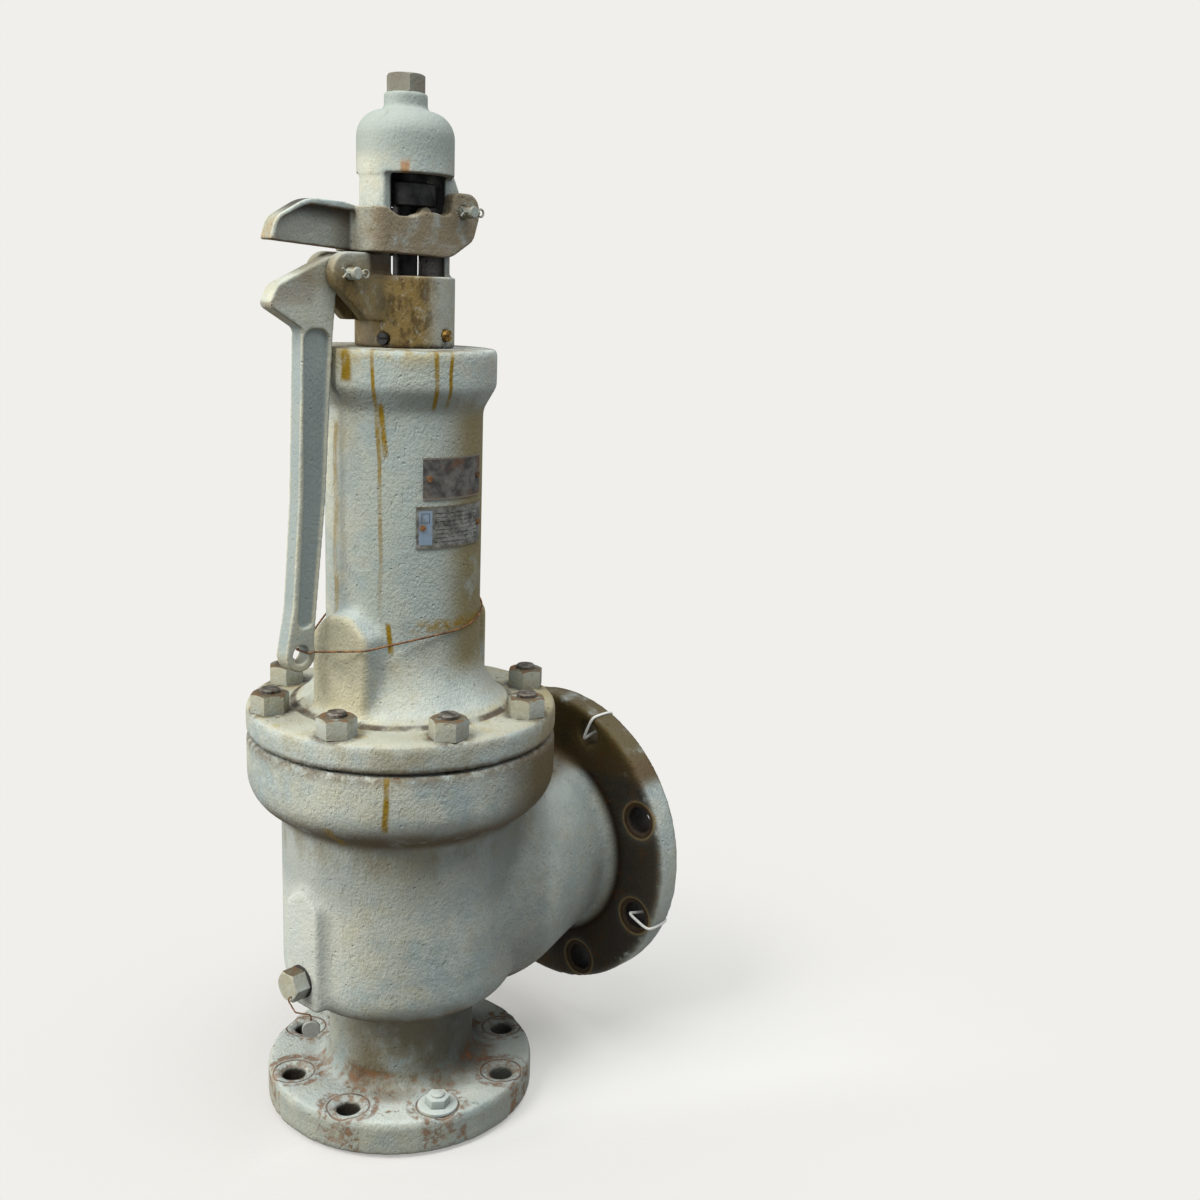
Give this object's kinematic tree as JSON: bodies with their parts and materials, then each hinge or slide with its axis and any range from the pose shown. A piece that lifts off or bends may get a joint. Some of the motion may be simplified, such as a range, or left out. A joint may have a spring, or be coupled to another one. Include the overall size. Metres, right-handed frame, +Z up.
{
  "type": "relief valve",
  "caption": "Flanged spring-loaded pressure relief valve with a long bonnet, plain open lever cap, lifting lever, drop lever and side outlet flange",
  "frame": {"origin": "centre of the inlet sealing face, on the valve axis", "axes": "+Z up the spindle, +X out of the outlet flange, -X towards the lever tips, +Y completes a right-handed frame"},
  "size_m": [0.3397, 0.2794, 0.844],
  "materials": {
    "painted_casting": "thick grey paint over a rough casting, stained and chipped",
    "painted_bolting": "grey paint over steel, thin on the corners",
    "machined_steel": "turned steel, dull",
    "dark_bolting": "dark oiled steel",
    "spring_steel": "dark coated spring steel",
    "gasket_sheet": "dark compressed sheet",
    "brass": "dull brass",
    "weathered_plate": "dark weathered plate",
    "bright_plate": "silver plate with plain printed bands",
    "rusty_rivet": "rusted steel",
    "rusty_wire": "rusted thin wire",
    "lead_seal": "grey-white pressed seal"
  },
  "bodies": {
    "valve": {"adjusting_ring": "machined_steel", "adjusting_screw": "machined_steel", "adjusting_screw_locknut": "dark_bolting", "bonnet": "painted_casting", "bonnet_gasket": "gasket_sheet", "bonnet_nuts": "painted_bolting", "bonnet_studs": "dark_bolting", "cap": "painted_casting", "cap_bolt": "painted_bolting", "cap_set_screw_front": "brass", "cap_set_screw_side": "dark_bolting", "drop_lever_pin": "painted_bolting", "drop_lever_split_pin": "painted_bolting", "guide": "machined_steel", "guide_gasket": "gasket_sheet", "lifting_lever_pin": "painted_bolting", "lifting_lever_split_pin": "painted_bolting", "lower_plate": "bright_plate", "nozzle": "machined_steel", "plate_rivets": "rusty_rivet", "ring_pin": "painted_bolting", "ring_pin_gasket": "gasket_sheet", "ring_pin_seal": "lead_seal", "ring_pin_seal_wire": "rusty_wire", "tie_wire": "rusty_wire", "upper_plate": "weathered_plate", "upper_spring_washer": "dark_bolting", "valve_body": "painted_casting"},
    "spindle_group": {"spindle": "machined_steel", "disc": "machined_steel", "disc_holder": "machined_steel", "disc_retainer": "machined_steel", "lower_spring_washer": "dark_bolting", "spring": "spring_steel", "release_nut": "dark_bolting", "release_locknut": "dark_bolting"},
    "lifting_lever_body": {"lifting_lever": "painted_casting"},
    "drop_lever_body": {"drop_lever": "painted_casting", "tie_wire_eye_loop": "rusty_wire"}
  },
  "joints": [
    {"name": "drop_lever_swing", "type": "hinge", "parent": "valve", "child": "drop_lever_body", "pos_m": [-0.067, 0, 0.696], "axis": [0, 1, 0], "range_deg": [0, 55]},
    {"name": "lifting_lever_swing", "type": "hinge", "parent": "valve", "child": "lifting_lever_body", "pos_m": [0.0365, 0, 0.7457], "axis": [0, 1, 0], "range_deg": [0, 8.71]},
    {"name": "spindle_lift", "type": "slide", "parent": "valve", "child": "spindle_group", "axis": [0, 0, 1], "range_m": [0, 0.00513], "stiffness_N_per_m": 8000, "deforming": ["spring"]}
  ],
  "couplings": [
    {"joint": "lifting_lever_swing", "follows": "drop_lever_swing", "ratio": 0.15833},
    {"joint": "spindle_lift", "follows": "drop_lever_swing", "m_per_rad": 0.0053476}
  ]
}
